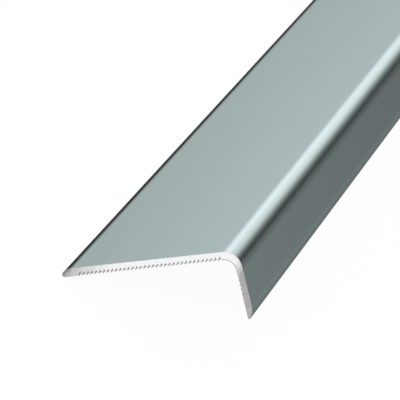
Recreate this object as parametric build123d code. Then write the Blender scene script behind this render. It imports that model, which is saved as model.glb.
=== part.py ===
from build123d import *
from math import asin, atan2, degrees, floor, hypot, sqrt
import os

# A stair-edge angle of extruded aluminium, cut to a stock length. It is one solid.
# All sizes are in millimetres. The section is drawn as it is fitted: the tread leg
# level, the riser leg hanging, and the outer corner of the two faces at the origin.

length = 900.0              # stock length
tread_width = 43.2          # from the riser's outer face to the tip of the tread leg
riser_height = 16.5         # from the tread's top face to the tip of the riser leg
tread_thickness = 2.0       # from the top face to the crests of the serrations
riser_thickness = 1.6

bend_outer_radius = 3.8
bend_inner_radius = 2.6
tread_wall_at_bend = 1.9    # plain wall between the bend and the serrations

tread_edge_radius = 3.0     # large rounds that thin the legs towards their tips
riser_edge_radius = 6.0
tread_tip_radius = 0.6
riser_tip_radius = 0.3

serration_pitch = 1.0       # V-grooves under the tread leg
serration_depth = 0.7
serration_mouth = 0.9
serration_gap = 0.05        # plain run from the bend to the first serration
tread_tip_strip = 3.7       # least plain run between the last serration and the tip

riser_groove_count = 4      # V-grooves inside the riser leg
riser_groove_pitch = 1.1
riser_groove_depth = 0.2
riser_groove_mouth = 0.9
riser_groove_gap = 1.5      # plain run from the bend to the first groove

cutter_overshoot = 0.5      # how far a groove cutter reaches out of the metal


# A leg has its own coordinates: distance along the leg from the outer corner, and
# depth into the metal from the outer face. These two turn them into section points.
def on_tread(along, depth):
    return (-along, -depth)


def on_riser(along, depth):
    return (-depth, -along)


def tip_centre(leg_length, thickness, tip_radius):
    return leg_length - tip_radius, thickness - tip_radius


def tip_points(leg_length, thickness, edge_radius, tip_radius):
    """Where a leg's edge round leaves the face, meets the tip round, and ends inside."""
    centre_along, centre_depth = tip_centre(leg_length, thickness, tip_radius)
    reach = edge_radius - tip_radius
    drop = edge_radius - centre_depth
    run = sqrt(reach**2 - drop**2)
    face_end = (centre_along - run, 0)
    join = (
        centre_along + tip_radius * run / reach,
        centre_depth - tip_radius * drop / reach,
    )
    inside_end = (centre_along, thickness)
    return face_end, join, inside_end


def tip_outline(on_leg, leg_length, thickness, edge_radius, tip_radius):
    """The two tangent arcs that close a leg, and the points where they start and end."""
    points = tip_points(leg_length, thickness, edge_radius, tip_radius)
    face_end, join, inside_end = [on_leg(*point) for point in points]
    towards_tip = on_leg(1, 0)
    edge_round = TangentArc(face_end, join, tangent=towards_tip)
    tip_round = TangentArc(inside_end, join, tangent=towards_tip)
    return edge_round + tip_round, face_end, inside_end


def bend_inner_ends():
    """Distances along the tread and riser legs where the inner bend begins."""
    along_tread = riser_thickness + bend_inner_radius
    along_riser = tread_wall_at_bend + bend_inner_radius
    return along_tread, along_riser


def serration_places():
    first = bend_inner_ends()[0] + serration_gap + serration_pitch / 2
    last = tread_width - tread_tip_strip - serration_pitch / 2
    count = floor((last - first) / serration_pitch) + 1
    return [first + i * serration_pitch for i in range(count)]


def riser_groove_places():
    first = bend_inner_ends()[1] + riser_groove_gap + riser_groove_pitch / 2
    return [first + i * riser_groove_pitch for i in range(riser_groove_count)]


def plain_section():
    """The angle before grooving. The tread's wall thickens inside its first serration."""
    tread_tip, tread_face_end, tread_inside = tip_outline(
        on_tread, tread_width, tread_thickness, tread_edge_radius, tread_tip_radius
    )
    riser_tip, riser_face_end, riser_inside = tip_outline(
        on_riser, riser_height, riser_thickness, riser_edge_radius, riser_tip_radius
    )
    tread_face_start = on_tread(bend_outer_radius, 0)
    riser_face_start = on_riser(bend_outer_radius, 0)
    outer_bend = TangentArc(riser_face_start, tread_face_start, tangent=(0, 1))

    along_tread, along_riser = bend_inner_ends()
    inner_start = on_tread(along_tread, tread_wall_at_bend)
    inner_end = on_riser(along_riser, riser_thickness)
    inner_bend = TangentArc(inner_start, inner_end, tangent=(1, 0))

    tread_step = serration_places()[0]
    under_tread = Polyline(
        tread_inside,
        on_tread(tread_step, tread_thickness),
        on_tread(tread_step, tread_wall_at_bend),
        inner_start,
    )
    outline = Curve() + [
        outer_bend,
        Line(tread_face_start, tread_face_end),
        tread_tip,
        under_tread,
        inner_bend,
        Line(inner_end, riser_inside),
        riser_tip,
        Line(riser_face_end, riser_face_start),
    ]
    return make_face(outline)


def groove(on_leg, along, thickness, depth, mouth):
    """One V-shaped cutter. Its flanks carry on past the face by cutter_overshoot."""
    half_width = mouth / 2 * (depth + cutter_overshoot) / depth
    root = on_leg(along, thickness - depth)
    outside = thickness + cutter_overshoot
    return make_face(
        Polyline(
            root,
            on_leg(along - half_width, outside),
            on_leg(along + half_width, outside),
            close=True,
        )
    )


def grooved_section():
    serrations = [
        groove(on_tread, along, tread_thickness, serration_depth, serration_mouth)
        for along in serration_places()
    ]
    riser_grooves = [
        groove(on_riser, along, riser_thickness, riser_groove_depth, riser_groove_mouth)
        for along in riser_groove_places()
    ]
    return plain_section() - serrations - riser_grooves


def resting_tilt():
    """The turn about Y that brings the two tips to one level, with the bend on top."""
    tread_centre = on_tread(*tip_centre(tread_width, tread_thickness, tread_tip_radius))
    riser_centre = on_riser(*tip_centre(riser_height, riser_thickness, riser_tip_radius))
    run = riser_centre[0] - tread_centre[0]
    fall = tread_centre[1] - riser_centre[1]
    radius_step = tread_tip_radius - riser_tip_radius
    return degrees(atan2(fall, run) - asin(radius_step / hypot(run, fall)))


def angle_section():
    """The stock length, resting on its two tips, with its box centred over the origin."""
    profile = Plane.XZ * grooved_section()
    fitted = extrude(profile, amount=length / 2, both=True)
    resting = Rot(0, -resting_tilt(), 0) * fitted
    box = resting.bounding_box()
    return Pos(-box.center().X, -box.center().Y, -box.min.Z) * resting


angle = angle_section()
print("serrations", len(serration_places()), "resting tilt", round(resting_tilt(), 3))

os.makedirs("parts", exist_ok=True)
export_step(angle, "parts/angle_section.step")
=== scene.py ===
import math

import bmesh
import bpy
from mathutils import Matrix, Vector


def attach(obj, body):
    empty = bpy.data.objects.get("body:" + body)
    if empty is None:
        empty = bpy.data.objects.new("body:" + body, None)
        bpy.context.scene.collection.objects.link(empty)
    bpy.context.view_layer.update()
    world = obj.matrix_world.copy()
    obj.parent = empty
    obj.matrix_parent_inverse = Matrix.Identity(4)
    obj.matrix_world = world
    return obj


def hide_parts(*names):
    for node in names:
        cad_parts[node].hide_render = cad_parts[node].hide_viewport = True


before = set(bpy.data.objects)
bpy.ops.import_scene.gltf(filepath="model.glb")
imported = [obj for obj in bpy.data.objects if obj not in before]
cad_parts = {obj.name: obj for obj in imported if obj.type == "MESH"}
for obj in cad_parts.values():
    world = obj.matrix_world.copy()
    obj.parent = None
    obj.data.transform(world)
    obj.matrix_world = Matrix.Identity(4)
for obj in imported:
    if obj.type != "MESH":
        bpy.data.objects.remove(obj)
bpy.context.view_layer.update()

mm = 0.001

# The section, drawn as the angle is fitted: tread leg level, riser leg hanging,
# outer corner of the two faces at the origin. Sizes are in millimetres.
angle = {
    "length": 900.0,
    "treadWidth": 43.2,
    "riserHeight": 16.5,
    "treadThickness": 2.0,
    "riserThickness": 1.6,
    "bendOuterRadius": 3.8,
    "bendInnerRadius": 2.6,
    "treadWallAtBend": 1.9,
    "treadEdgeRadius": 3.0,  # large rounds that thin the legs towards their tips
    "riserEdgeRadius": 6.0,
    "treadTipRadius": 0.6,
    "riserTipRadius": 0.3,
    "serrationPitch": 1.0,
    "serrationDepth": 0.7,
    "serrationMouth": 0.9,
    "serrationGap": 0.05,
    "treadTipStrip": 3.7,
    "riserGrooveCount": 4,
    "riserGroovePitch": 1.1,
    "riserGrooveDepth": 0.2,
    "riserGrooveMouth": 0.9,
    "riserGrooveGap": 1.5,
    "cornerRadius": 0.04,    # tiny rounds on groove crests and roots
    "sawnEdge": 0.05,        # broken edge round each sawn end
    "arcStep": 3.0,          # degrees between points on a round
    "sharpFrom": 25.0,       # degrees; a larger turn between faces reads as an edge
    "normalWeight": 100,     # how far the large faces lead in smooth shading
}


# A leg's own coordinates are the distance along it from the outer corner and the
# depth into the metal from its outer face. These two give section points.
def onTread(along, depth):
    return Vector((-along, -depth))


def onRiser(along, depth):
    return Vector((-depth, -along))


def tipCentre(legLength, thickness, tipRadius):
    return legLength - tipRadius, thickness - tipRadius


def arcPoints(centre, start, end):
    # points of the shorter arc from start to end, both included
    first = start - centre
    turn = first.angle_signed(end - centre)
    steps = max(2, math.ceil(abs(math.degrees(turn)) / angle["arcStep"]))
    return [centre + Matrix.Rotation(-turn * i / steps, 2) @ first for i in range(steps + 1)]


def tipPoints(onLeg, legLength, thickness, edgeRadius, tipRadius):
    # from the outer face round the tip to the inner face
    along, depth = tipCentre(legLength, thickness, tipRadius)
    reach = edgeRadius - tipRadius
    drop = edgeRadius - depth
    run = math.sqrt(reach**2 - drop**2)
    faceEnd = onLeg(along - run, 0)
    edgeCentre = onLeg(along - run, edgeRadius)
    tip = onLeg(along, depth)
    join = tip + (tip - edgeCentre).normalized() * tipRadius
    insideEnd = onLeg(along, thickness)
    return arcPoints(edgeCentre, faceEnd, join) + arcPoints(tip, join, insideEnd)[1:]


def roundedCorner(before, corner, after, radius):
    # a corner of the section with a small round on it
    towardsBefore = (before - corner).normalized()
    towardsAfter = (after - corner).normalized()
    half = towardsBefore.angle(towardsAfter) / 2
    setback = radius / math.tan(half)
    centre = corner + (towardsBefore + towardsAfter).normalized() * radius / math.sin(half)
    middle = corner + (centre - corner) * (1 - radius / (centre - corner).length)
    return [corner + towardsBefore * setback, middle, corner + towardsAfter * setback]


def serrationPlaces():
    first = innerBendEnds()[0] + angle["serrationGap"] + angle["serrationPitch"] / 2
    last = angle["treadWidth"] - angle["treadTipStrip"] - angle["serrationPitch"] / 2
    count = math.floor((last - first) / angle["serrationPitch"]) + 1
    return [first + i * angle["serrationPitch"] for i in range(count)]


def riserGroovePlaces():
    first = innerBendEnds()[1] + angle["riserGrooveGap"] + angle["riserGroovePitch"] / 2
    return [first + i * angle["riserGroovePitch"] for i in range(angle["riserGrooveCount"])]


def innerBendEnds():
    alongTread = angle["riserThickness"] + angle["bendInnerRadius"]
    alongRiser = angle["treadWallAtBend"] + angle["bendInnerRadius"]
    return alongTread, alongRiser


def grooveCorners(onLeg, along, thickness, depth, mouth, wallBefore):
    # one V from the bend's side to the tip's side; wallBefore is the wall on the bend's side
    slope = mouth / 2 / depth
    nearHalf = (depth + wallBefore - thickness) * slope
    return [
        onLeg(along - nearHalf, wallBefore),
        onLeg(along, thickness - depth),
        onLeg(along + mouth / 2, thickness),
    ]


def groovedFace(onLeg, places, thickness, depth, mouth, wallAtBend):
    corners = []
    for i, along in enumerate(places):
        wallBefore = wallAtBend if i == 0 else thickness
        corners += grooveCorners(onLeg, along, thickness, depth, mouth, wallBefore)
    points = []
    for i, corner in enumerate(corners):
        before = corners[i - 1] if i else onLeg(0, wallAtBend)
        after = corners[i + 1] if i + 1 < len(corners) else onLeg(2 * places[-1], thickness)
        points += roundedCorner(before, corner, after, angle["cornerRadius"])
    return points


def bendPoints(radius, treadDepth, riserDepth):
    start = onTread(riserDepth + radius, treadDepth)
    end = onRiser(treadDepth + radius, riserDepth)
    centre = Vector((start.x, end.y))
    return arcPoints(centre, start, end)


def sectionOutline():
    # once round, from the outer bend along the riser, inside, and back over the tread
    outerBend = bendPoints(angle["bendOuterRadius"], 0, 0)
    innerBend = bendPoints(angle["bendInnerRadius"], angle["treadWallAtBend"], angle["riserThickness"])
    riserTip = tipPoints(
        onRiser, angle["riserHeight"], angle["riserThickness"],
        angle["riserEdgeRadius"], angle["riserTipRadius"],
    )
    treadTip = tipPoints(
        onTread, angle["treadWidth"], angle["treadThickness"],
        angle["treadEdgeRadius"], angle["treadTipRadius"],
    )
    insideRiser = groovedFace(
        onRiser, riserGroovePlaces(), angle["riserThickness"],
        angle["riserGrooveDepth"], angle["riserGrooveMouth"], angle["riserThickness"],
    )
    underTread = groovedFace(
        onTread, serrationPlaces(), angle["treadThickness"],
        angle["serrationDepth"], angle["serrationMouth"], angle["treadWallAtBend"],
    )
    return outerBend + riserTip + insideRiser[::-1] + innerBend[::-1] + underTread + treadTip[::-1]


def restingTilt():
    # the turn that brings the two tips to one level, with the bend on top
    treadCentre = onTread(
        *tipCentre(angle["treadWidth"], angle["treadThickness"], angle["treadTipRadius"]),
    )
    riserCentre = onRiser(
        *tipCentre(angle["riserHeight"], angle["riserThickness"], angle["riserTipRadius"]),
    )
    across = riserCentre - treadCentre
    radiusStep = angle["treadTipRadius"] - angle["riserTipRadius"]
    return math.atan2(-across.y, across.x) - math.asin(radiusStep / across.length)


tilt = restingTilt()
turnToRest = Matrix.Rotation(tilt, 2)
outline = sectionOutline()
turned = [turnToRest @ point for point in outline]
restShift = Vector((
    -(min(p.x for p in turned) + max(p.x for p in turned)) / 2,
    -min(p.y for p in turned),
))


def atRest(sectionPoint, alongLength):
    # a section point, and a distance from the near sawn end, as a place in the frame
    flat = turnToRest @ Vector(sectionPoint) + restShift
    return Vector((flat.x, alongLength - angle["length"] / 2, flat.y)) * mm


def insetOutline(points, inset):
    # the outline moved into the metal by inset, for the broken edge of a sawn end
    moved = []
    for i, point in enumerate(points):
        before = (point - points[i - 1]).normalized()
        after = (points[(i + 1) % len(points)] - point).normalized()
        inward = Vector((-(before + after).y, (before + after).x)).normalized()
        moved.append(point - inward * inset)
    return moved


def buildAngle(finishes):
    inner = insetOutline(outline, angle["sawnEdge"])
    rings = [
        (inner, 0.0),
        (outline, angle["sawnEdge"]),
        (outline, angle["length"] - angle["sawnEdge"]),
        (inner, angle["length"]),
    ]
    mesh = bmesh.new()
    loops = [[mesh.verts.new(atRest(p, along)) for p in points] for points, along in rings]
    count = len(outline)
    # finish 0 is the skin along the length; finish 1 is the sawn ends and their broken edges
    for ringIndex in range(len(loops) - 1):
        near, far = loops[ringIndex], loops[ringIndex + 1]
        for i in range(count):
            nextOne = (i + 1) % count
            face = mesh.faces.new((near[i], near[nextOne], far[nextOne], far[i]))
            face.smooth = True
            face.material_index = 0 if ringIndex == 1 else 1
    caps = [mesh.faces.new(ends) for ends in (loops[0][::-1], loops[-1])]
    for cap in caps:
        cap.material_index = 1
    bmesh.ops.recalc_face_normals(mesh, faces=mesh.faces)
    bmesh.ops.triangulate(mesh, faces=caps, ngon_method="EAR_CLIP")
    data = bpy.data.meshes.new("stairAngle")
    mesh.to_mesh(data)
    mesh.free()
    for finish in finishes:
        data.materials.append(finish)
    data.set_sharp_from_angle(angle=math.radians(angle["sharpFrom"]))
    piece = bpy.data.objects.new("stairAngle", data)
    bpy.context.scene.collection.objects.link(piece)
    even = piece.modifiers.new("evenNormals", "WEIGHTED_NORMAL")
    even.keep_sharp = True
    even.weight = angle["normalWeight"]
    print("angle: section points", count, "faces", len(data.polygons))
    return piece


# Small helpers for node trees
def addNode(tree, kind, settings=None, **inputs):
    # an input is named, or numbered as _0, _1, ...; its value is a socket or a constant
    node = tree.nodes.new(kind)
    for name, value in (settings or {}).items():
        setattr(node, name, value)
    for name, value in inputs.items():
        socket = node.inputs[int(name[1:])] if name[0] == "_" else node.inputs[name]
        if isinstance(value, bpy.types.NodeSocket):
            tree.links.new(value, socket)
        else:
            socket.default_value = value
    return node


def compute(tree, operation, *values, clamp=False):
    settings = {"operation": operation, "use_clamp": clamp}
    inputs = {f"_{i}": value for i, value in enumerate(values)}
    return addNode(tree, "ShaderNodeMath", settings, **inputs).outputs[0]


def mapRange(tree, value, source, target=(0.0, 1.0), smooth=False):
    # source runs from the value that gives target[0] to the one that gives target[1]
    settings = {"interpolation_type": "SMOOTHSTEP" if smooth else "LINEAR"}
    limits = {"_1": source[0], "_2": source[1], "_3": target[0], "_4": target[1]}
    return addNode(tree, "ShaderNodeMapRange", settings, _0=value, **limits).outputs[0]


def within(tree, *bands):
    # 1 where every band is full, fading to 0 at each band's first limit
    share = 1.0
    for value, limits in bands:
        share = compute(tree, "MULTIPLY", share, mapRange(tree, value, limits, smooth=True))
    return share


def mixColour(tree, share, first, second):
    settings = {"data_type": "RGBA"}
    return addNode(tree, "ShaderNodeMix", settings, _0=share, _6=first, _7=second).outputs[2]


def newMaterial(name):
    material = bpy.data.materials.new(name)
    material.use_nodes = True
    material.node_tree.nodes.clear()
    return material, material.node_tree


def newGroup(name, inputs, outputs):
    # inputs and outputs give each socket's name and kind
    group = bpy.data.node_groups.new(name, "ShaderNodeTree")
    for label, kind in inputs:
        group.interface.new_socket(label, in_out="INPUT", socket_type=kind)
    for label, kind in outputs:
        group.interface.new_socket(label, in_out="OUTPUT", socket_type=kind)
    return group, group.nodes.new("NodeGroupInput").outputs, group.nodes.new("NodeGroupOutput").inputs


def placeGroup(tree, group, **inputs):
    return addNode(tree, "ShaderNodeGroup", {"node_tree": group}, **inputs).outputs


def finishShader(tree, shader):
    output = tree.nodes.new("ShaderNodeOutputMaterial")
    tree.links.new(shader.outputs[0], output.inputs[0])


# The noise that both finishes take their lines, grain and strokes from
lineNoise = {"detail": 3.0, "roughness": 0.6}


def streakGroup():
    # noise drawn out into lines by a different scale each way
    vector, value = "NodeSocketVector", "NodeSocketFloat"
    inputs = [("Place", vector), ("Scale", vector), ("Contrast", value)]
    group, given, result = newGroup("drawnStreaks", inputs, [("Mask", value)])
    stretch = {"operation": "MULTIPLY"}
    drawn = addNode(group, "ShaderNodeVectorMath", stretch, _0=given["Place"], _1=given["Scale"])
    noise = addNode(
        group, "ShaderNodeTexNoise", {"noise_dimensions": "3D"},
        Vector=drawn.outputs[0], Scale=1.0,
        Detail=lineNoise["detail"], Roughness=lineNoise["roughness"],
    )
    centred = compute(group, "SUBTRACT", noise.outputs["Fac"], 0.5)
    mask = compute(group, "MULTIPLY_ADD", centred, given["Contrast"], 0.5, clamp=True)
    group.links.new(mask, result["Mask"])
    return group


def sectionGroup():
    # where a point lies in the section, in millimetres: across from the riser leg's
    # outer face towards the tread leg's tip, and down from the tread leg's top face
    value = "NodeSocketFloat"
    outputs = [("Across", value), ("Down", value)]
    group, given, result = newGroup("sectionPlace", [("Place", "NodeSocketVector")], outputs)
    corner = (restShift.x * mm, 0.0, restShift.y * mm)
    shifted = addNode(
        group, "ShaderNodeVectorMath", {"operation": "SUBTRACT"}, _0=given["Place"], _1=corner,
    )
    fitted = addNode(
        group, "ShaderNodeVectorRotate", {"rotation_type": "Y_AXIS"},
        Vector=shifted.outputs[0], Angle=tilt,
    )
    axes = addNode(group, "ShaderNodeSeparateXYZ", Vector=fitted.outputs[0]).outputs
    group.links.new(compute(group, "MULTIPLY", axes["X"], -1.0 / mm), result["Across"])
    group.links.new(compute(group, "MULTIPLY", axes["Z"], -1.0 / mm), result["Down"])
    return group


# Satin anodised skin, with painted shade along the tread leg's tip and where the bend meets the riser
# leg, and painted light along the riser leg's lower edge. A pair marked across or down runs from no
# effect to full, in millimetres in the section.
skin = {
    "colour": (0.269, 0.320, 0.317, 1.0),
    "lineColour": (0.278, 0.330, 0.327, 1.0),
    "lineScale": (1400.0, 3.0, 1400.0),        # drawn out along the length
    "lineContrast": 2.2,
    "grainScale": (9000.0, 6000.0, 9000.0),
    "grainContrast": 1.6,
    "grainShare": 0.4,
    "reliefRange": (0.2, 1.2),                 # lines and grain together: sets the roughness
    "lineDepth": 0.0015,                       # millimetres
    "bumpStrength": 0.25,
    "roughness": (0.28, 0.31),
    "grazingTint": (0.25, 0.25, 0.25, 1.0),    # the dyed layer darkens at grazing angles
    "tipPaintedShade": (0.010, 0.012, 0.012, 1.0),   # painted shade: a dark stripe along the tread leg's tip, in place of a dark reflection on its round
    "tipShadeIn": (40.3, 41.8),                # across
    "tipShadePower": 0.6,
    "tipShadeOut": (43.0, 42.6),               # across
    "bendPaintedShade": (0.213, 0.254, 0.251, 1.0),  # painted shade: a darker line where the bend meets the riser leg
    "bendShadeIn": (2.7, 3.4),                 # down
    "bendShadeOut": (4.9, 3.7),                # down
    "edgePaintedLight": (0.360, 0.425, 0.416, 1.0),  # painted light: a lighter round along the riser leg's lower edge
    "edgeLightIn": (12.9, 14.4),              # down
}


def satinSkin(streaks, section):
    material, tree = newMaterial("satinAnodised")
    place = addNode(tree, "ShaderNodeTexCoord").outputs["Object"]
    where = placeGroup(tree, section, Place=place)
    across, down = where["Across"], where["Down"]
    lines = placeGroup(
        tree, streaks, Place=place, Scale=skin["lineScale"], Contrast=skin["lineContrast"],
    )["Mask"]
    grain = placeGroup(
        tree, streaks, Place=place, Scale=skin["grainScale"], Contrast=skin["grainContrast"],
    )["Mask"]
    colour = mixColour(tree, lines, skin["colour"], skin["lineColour"])
    # painted shade where the bend meets the riser leg
    bendShadeShare = within(tree, (down, skin["bendShadeIn"]), (down, skin["bendShadeOut"]))
    colour = mixColour(tree, bendShadeShare, colour, skin["bendPaintedShade"])
    # painted light along the riser leg's lower edge
    edgeLightShare = within(tree, (down, skin["edgeLightIn"]))
    colour = mixColour(tree, edgeLightShare, colour, skin["edgePaintedLight"])
    # painted shade along the tread leg's tip, fading out again over the nose
    atTip = compute(tree, "POWER", mapRange(tree, across, skin["tipShadeIn"]), skin["tipShadePower"])
    atTip = compute(tree, "MULTIPLY", atTip, within(tree, (across, skin["tipShadeOut"])))
    colour = mixColour(tree, atTip, colour, skin["tipPaintedShade"])
    relief = compute(tree, "MULTIPLY_ADD", grain, skin["grainShare"], lines)
    roughness = mapRange(tree, relief, skin["reliefRange"], skin["roughness"])
    bump = addNode(
        tree, "ShaderNodeBump", Strength=skin["bumpStrength"], Distance=skin["lineDepth"] * mm,
        Height=relief,
    ).outputs[0]
    shader = addNode(
        tree, "ShaderNodeBsdfPrincipled", Metallic=1.0, Roughness=roughness, Normal=bump,
    )
    shader.inputs["Specular Tint"].default_value = skin["grazingTint"]
    tree.links.new(colour, shader.inputs["Base Color"])
    finishShader(tree, shader)
    print("satin skin mixed")
    return material


# Bare metal on the sawn ends, with painted shade along the serrations, the inner bend and the tread
# leg's tip. A pair marked across, down or depth runs from no effect to full, in millimetres in the
# section.
sawn = {
    "bright": (0.95, 0.95, 0.955, 1.0),
    "dull": (0.43, 0.43, 0.435, 1.0),
    # painted shade for the inner edges and the tread leg's tip
    "paintedShade": (0.10, 0.10, 0.10, 1.0),
    "riserDull": (1.2, 5.2),      # down less across: the riser leg's end is duller
    "tipDull": (28.0, 43.5),      # across: so is the end of the tread leg's tip
    "tipDullPower": 1.5,
    "tipShadeDepth": (1.0, 0.1),        # depth from the round of the tread leg's tip: a dark edge of painted shade
    "tipShadeFrom": (40.3, 41.3),  # across
    "tipShadeShare": 0.70,
    "notchShade": (0.22, 0.0),      # depth from the serrations: a dark line of painted shade
    "bendRimShade": (0.36, 0.02),      # depth from the inner bend: a wider one
    "bendShadeAcross": (4.7, 4.0),  # across
    "bendShadeDown": (5.5, 3.8),    # down
    "rimShadeShare": 0.75,
    "strokeAngle": 52.0,          # degrees from the tread leg
    "strokeScale": (500.0, 900.0, 2800.0),
    "strokeContrast": 2.5,
    "strokeShare": 0.35,
    "speckleScale": (5000.0, 5000.0, 5000.0),
    "speckleContrast": 2.0,
    "speckleShare": 0.5,
    "reliefRange": (0.2, 1.3),    # strokes and speckle together: sets the roughness
    "strokeDepth": 0.02,          # millimetres
    "bumpStrength": 0.6,
    "roughness": (0.35, 0.55),
}


def innerDistance(tree, across, down):
    # millimetres from a point on the sawn end to the inner bend or the serrated edge, and
    # 1 where that edge has serrations
    radius = angle["bendInnerRadius"]
    alongTread, alongRiser = innerBendEnds()
    intoBend = compute(tree, "MAXIMUM", compute(tree, "SUBTRACT", alongTread, across), 0.0)
    upBend = compute(tree, "MAXIMUM", compute(tree, "SUBTRACT", alongRiser, down), 0.0)
    corner = addNode(tree, "ShaderNodeCombineXYZ", _0=intoBend, _1=upBend, _2=0.0).outputs[0]
    reach = addNode(tree, "ShaderNodeVectorMath", {"operation": "LENGTH"}, _0=corner).outputs["Value"]
    plain = compute(tree, "SUBTRACT", reach, radius)
    # the serrations: a V every pitch, from the first to the last
    places = serrationPlaces()
    pitch = angle["serrationPitch"]
    centre = compute(tree, "ADD", compute(tree, "SUBTRACT", across, places[0]), pitch / 2)
    fromCentre = compute(tree, "SUBTRACT", compute(tree, "FLOORED_MODULO", centre, pitch), pitch / 2)
    fromCentre = compute(tree, "ABSOLUTE", fromCentre)
    halfMouth = angle["serrationMouth"] / 2
    depth = mapRange(tree, fromCentre, (halfMouth, 0.0), (0.0, angle["serrationDepth"]))
    started = compute(tree, "GREATER_THAN", across, places[0] - pitch / 2)
    ended = compute(tree, "LESS_THAN", across, places[-1] + pitch / 2)
    grooved = compute(tree, "MULTIPLY", started, ended)
    # the wall changes its thickness inside the first serration
    step = compute(tree, "GREATER_THAN", across, places[0])
    step = compute(tree, "MULTIPLY", step, angle["treadThickness"] - angle["treadWallAtBend"])
    cut = compute(tree, "MULTIPLY", depth, grooved)
    straightUp = compute(tree, "SUBTRACT", compute(tree, "ADD", plain, step), cut)
    slant = math.hypot(halfMouth, angle["serrationDepth"]) / halfMouth
    share = mapRange(tree, grooved, (0.0, 1.0), (1.0, 1.0 / slant))
    return compute(tree, "MULTIPLY", straightUp, share), grooved


def edgeRoundDepth(tree, across, down):
    # millimetres into the metal from the large round that thins the tread leg's tip
    along, depth = tipCentre(angle["treadWidth"], angle["treadThickness"], angle["treadTipRadius"])
    radius = angle["treadEdgeRadius"]
    run = math.sqrt((radius - angle["treadTipRadius"]) ** 2 - (radius - depth) ** 2)
    beside = compute(tree, "SUBTRACT", across, along - run)
    below = compute(tree, "SUBTRACT", down, radius)
    corner = addNode(tree, "ShaderNodeCombineXYZ", _0=beside, _1=below, _2=0.0).outputs[0]
    reach = addNode(tree, "ShaderNodeVectorMath", {"operation": "LENGTH"}, _0=corner).outputs["Value"]
    return compute(tree, "SUBTRACT", radius, reach)


def sawnEnd(streaks, section):
    material, tree = newMaterial("sawnEnd")
    place = addNode(tree, "ShaderNodeTexCoord").outputs["Object"]
    where = placeGroup(tree, section, Place=place)
    across, down = where["Across"], where["Down"]
    strokeTurn = addNode(
        tree, "ShaderNodeVectorRotate", {"rotation_type": "Y_AXIS"},
        Vector=place, Angle=math.radians(sawn["strokeAngle"]) + tilt,
    ).outputs[0]
    strokes = placeGroup(
        tree, streaks, Place=strokeTurn, Scale=sawn["strokeScale"], Contrast=sawn["strokeContrast"],
    )["Mask"]
    speckle = placeGroup(
        tree, streaks, Place=place, Scale=sawn["speckleScale"], Contrast=sawn["speckleContrast"],
    )["Mask"]
    onRiserLeg = mapRange(tree, compute(tree, "SUBTRACT", down, across), sawn["riserDull"])
    atTip = compute(tree, "POWER", mapRange(tree, across, sawn["tipDull"]), sawn["tipDullPower"])
    dullness = compute(tree, "MAXIMUM", onRiserLeg, atTip)
    stroked = compute(tree, "MULTIPLY", compute(tree, "SUBTRACT", strokes, 0.5), sawn["strokeShare"])
    dullness = compute(tree, "MAXIMUM", compute(tree, "ADD", dullness, stroked), 0.0)
    colour = mixColour(tree, dullness, sawn["bright"], sawn["dull"])
    inside, grooved = innerDistance(tree, across, down)
    # painted shade: a dark line along the serrations and round the inner bend
    notchShade = compute(tree, "MULTIPLY", mapRange(tree, inside, sawn["notchShade"]), grooved)
    inBend = within(tree, (across, sawn["bendShadeAcross"]), (down, sawn["bendShadeDown"]))
    bendRimShade = compute(tree, "MULTIPLY", mapRange(tree, inside, sawn["bendRimShade"]), inBend)
    rimShade = compute(tree, "MULTIPLY", compute(tree, "MAXIMUM", notchShade, bendRimShade), sawn["rimShadeShare"])
    # painted shade: a dark edge beside the round of the tread leg's tip
    tipEdgeShade = mapRange(tree, edgeRoundDepth(tree, across, down), sawn["tipShadeDepth"])
    tipEdgeShade = compute(tree, "MULTIPLY", tipEdgeShade, within(tree, (across, sawn["tipShadeFrom"])))
    tipEdgeShade = compute(tree, "MULTIPLY", tipEdgeShade, sawn["tipShadeShare"])
    colour = mixColour(tree, compute(tree, "MAXIMUM", rimShade, tipEdgeShade), colour, sawn["paintedShade"])
    relief = compute(tree, "MULTIPLY_ADD", speckle, sawn["speckleShare"], strokes)
    roughness = mapRange(tree, relief, sawn["reliefRange"], sawn["roughness"])
    bump = addNode(
        tree, "ShaderNodeBump", Strength=sawn["bumpStrength"], Distance=sawn["strokeDepth"] * mm,
        Height=relief,
    ).outputs[0]
    shader = addNode(
        tree, "ShaderNodeBsdfPrincipled", Metallic=1.0, Roughness=roughness, Normal=bump,
    )
    tree.links.new(colour, shader.inputs["Base Color"])
    finishShader(tree, shader)
    print("sawn metal mixed")
    return material


# Floor
floor = {
    "size": 12.0,            # metres
    "colour": (0.92, 0.92, 0.92, 1.0),
    "glow": 0.96,            # share of plain white; the rest takes the shadow
}


def showsBackground(tree):
    # 1 for the rays that see the background: camera, glossy and transmission
    path = addNode(tree, "ShaderNodeLightPath").outputs
    seen = compute(tree, "MAXIMUM", path["Is Camera Ray"], path["Is Glossy Ray"])
    return compute(tree, "MAXIMUM", seen, path["Is Transmission Ray"])


def buildFloor():
    material, tree = newMaterial("paleFloor")
    diffuse = addNode(tree, "ShaderNodeBsdfDiffuse", Color=floor["colour"]).outputs[0]
    white = addNode(tree, "ShaderNodeEmission", Strength=1.0).outputs[0]
    share = compute(tree, "MULTIPLY", showsBackground(tree), floor["glow"])
    mixed = addNode(tree, "ShaderNodeMixShader", _0=share, _1=diffuse, _2=white).outputs[0]
    # clear from below, so that the underside of the angle can be looked at
    below = addNode(tree, "ShaderNodeNewGeometry").outputs["Backfacing"]
    clear = addNode(tree, "ShaderNodeBsdfTransparent").outputs[0]
    finishShader(tree, addNode(tree, "ShaderNodeMixShader", _0=below, _1=mixed, _2=clear))
    mesh = bmesh.new()
    bmesh.ops.create_grid(mesh, x_segments=1, y_segments=1, size=floor["size"] / 2)
    data = bpy.data.meshes.new("floor")
    mesh.to_mesh(data)
    mesh.free()
    data.materials.append(material)
    piece = bpy.data.objects.new("floor", data)
    bpy.context.scene.collection.objects.link(piece)
    print("floor laid")


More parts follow.
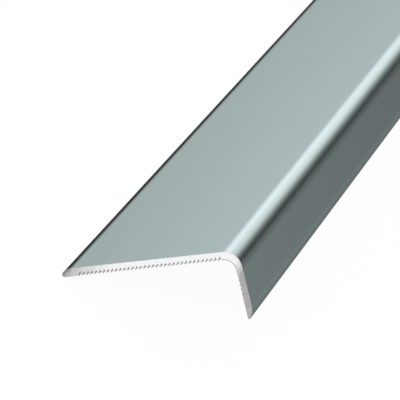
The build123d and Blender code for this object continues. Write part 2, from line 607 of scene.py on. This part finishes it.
# Studio sky: a bright panel and a dark flag over a plain white. Bearings are in degrees
# from the length towards +X and heights in degrees above the floor. Each pair of them
# runs from no effect to full.
sky = {
    "plain": 0.9,
    "plainColour": (1.0, 1.0, 1.0, 1.0),
    "panelColour": (1.09, 1.0, 1.03, 1.0),
    "panelGlow": (1.2, 5.04),     # towards the near end and the far end
    "panelTurn": (-0.1, 0.1),     # a direction's Y, where one glow passes into the other
    "panelLeft": (-48.9, -10.1),
    "panelRight": (30.5, -9.7),
    "panelLow": (-23.4, 23.3),
    "panelTop": (31.0, 29.0),
    "flagLeft": (4.1, 20.6),
    "flagRight": (70.0, 42.0),
    "flagTop": (34.6, 27.3),
    "flagDepth": 0.97,
}


def buildSky():
    world = bpy.data.worlds.new("studioSky")
    bpy.context.scene.world = world
    world.use_nodes = True
    tree = world.node_tree
    tree.nodes.clear()
    way = addNode(tree, "ShaderNodeTexCoord").outputs["Generated"]
    axes = addNode(tree, "ShaderNodeSeparateXYZ", Vector=way).outputs
    endwise = compute(tree, "ABSOLUTE", axes["Y"])
    bearing = compute(tree, "DEGREES", compute(tree, "ARCTAN2", axes["X"], endwise))
    height = compute(tree, "DEGREES", compute(tree, "ARCSINE", axes["Z"]))

    panel = within(
        tree, (bearing, sky["panelLeft"]), (bearing, sky["panelRight"]),
        (height, sky["panelLow"]), (height, sky["panelTop"]),
    )
    flag = within(
        tree, (bearing, sky["flagLeft"]), (bearing, sky["flagRight"]), (height, sky["flagTop"]),
    )
    plain = mapRange(tree, flag, (0.0, 1.0), (sky["plain"], sky["plain"] * (1 - sky["flagDepth"])))
    panelGlow = mapRange(tree, axes["Y"], sky["panelTurn"], sky["panelGlow"])
    strength = compute(tree, "MULTIPLY_ADD", panel, panelGlow, plain)
    colour = mixColour(tree, panel, sky["plainColour"], sky["panelColour"])
    light = addNode(tree, "ShaderNodeBackground", Color=colour, Strength=strength)
    output = tree.nodes.new("ShaderNodeOutputWorld")
    tree.links.new(light.outputs[0], output.inputs[0])
    print("sky lit")


# Camera: where it stands and how it is turned, in the directions of the section as it
# is fitted. Its place is measured from the outer corner of the near end.
camera = {
    "away": (233.8, 206.7, 561.0),    # millimetres to the riser's side, up, and out
    "forward": (-0.3745, -0.3031, 0.8763),
    "right": (0.9212, -0.2295, 0.3143),
    "lens": 262.7,
    "sensor": 36.0,
    "sees": (0.01, 50.0),             # nearest and furthest, in metres
}


def fittedDirection(across, up, along):
    flat = turnToRest @ Vector((across, up))
    return Vector((flat.x, along, flat.y))


def buildCamera():
    data = bpy.data.cameras.new("camera")
    data.lens = camera["lens"]
    data.sensor_width = camera["sensor"]
    data.clip_start, data.clip_end = camera["sees"]
    eye = bpy.data.objects.new("camera", data)
    across, up, out = camera["away"]
    forward = fittedDirection(*camera["forward"]).normalized()
    right = fittedDirection(*camera["right"])
    right = (right - forward * right.dot(forward)).normalized()
    upwards = right.cross(forward)
    turn = Matrix((right, upwards, -forward)).transposed()
    eye.matrix_world = Matrix.Translation(atRest((across, up), -out)) @ turn.to_4x4()
    bpy.context.scene.collection.objects.link(eye)
    bpy.context.scene.camera = eye
    print("camera at", [round(v, 4) for v in eye.location])


streaks = streakGroup()
section = sectionGroup()
stairAngle = buildAngle([satinSkin(streaks, section), sawnEnd(streaks, section)])
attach(stairAngle, "root")
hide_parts("angle_section")
buildFloor()
buildSky()
buildCamera()
bpy.context.scene.view_settings.view_transform = "Standard"
